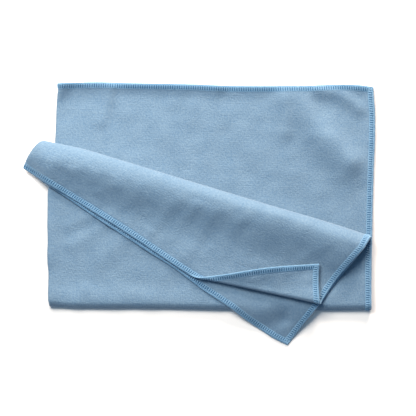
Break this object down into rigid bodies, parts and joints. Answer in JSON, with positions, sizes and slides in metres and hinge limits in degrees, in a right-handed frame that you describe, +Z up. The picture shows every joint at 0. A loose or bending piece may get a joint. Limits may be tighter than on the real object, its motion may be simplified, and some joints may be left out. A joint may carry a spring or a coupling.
{
  "type": "folded microfibre cloth",
  "caption": "Microfibre cloth folded in quarters, upper layers turned back in a soft diagonal roll, one corner curled over, overlocked hems.",
  "frame": {"origin": "middle of the outline, on the surface that the cloth lies on", "axes": "+X along the long side, from the left fold to the right hems; +Y from the bottom fold to the top hems; +Z up"},
  "size_m": [0.3212, 0.2413, 0.0213],
  "materials": {
    "microfibre": "woven split-fibre microfibre in sky blue, matt with a soft nap, overlocked hems in brighter blue thread"
  },
  "bodies": {
    "root": {"cloth": "microfibre"}
  },
  "joints": []
}
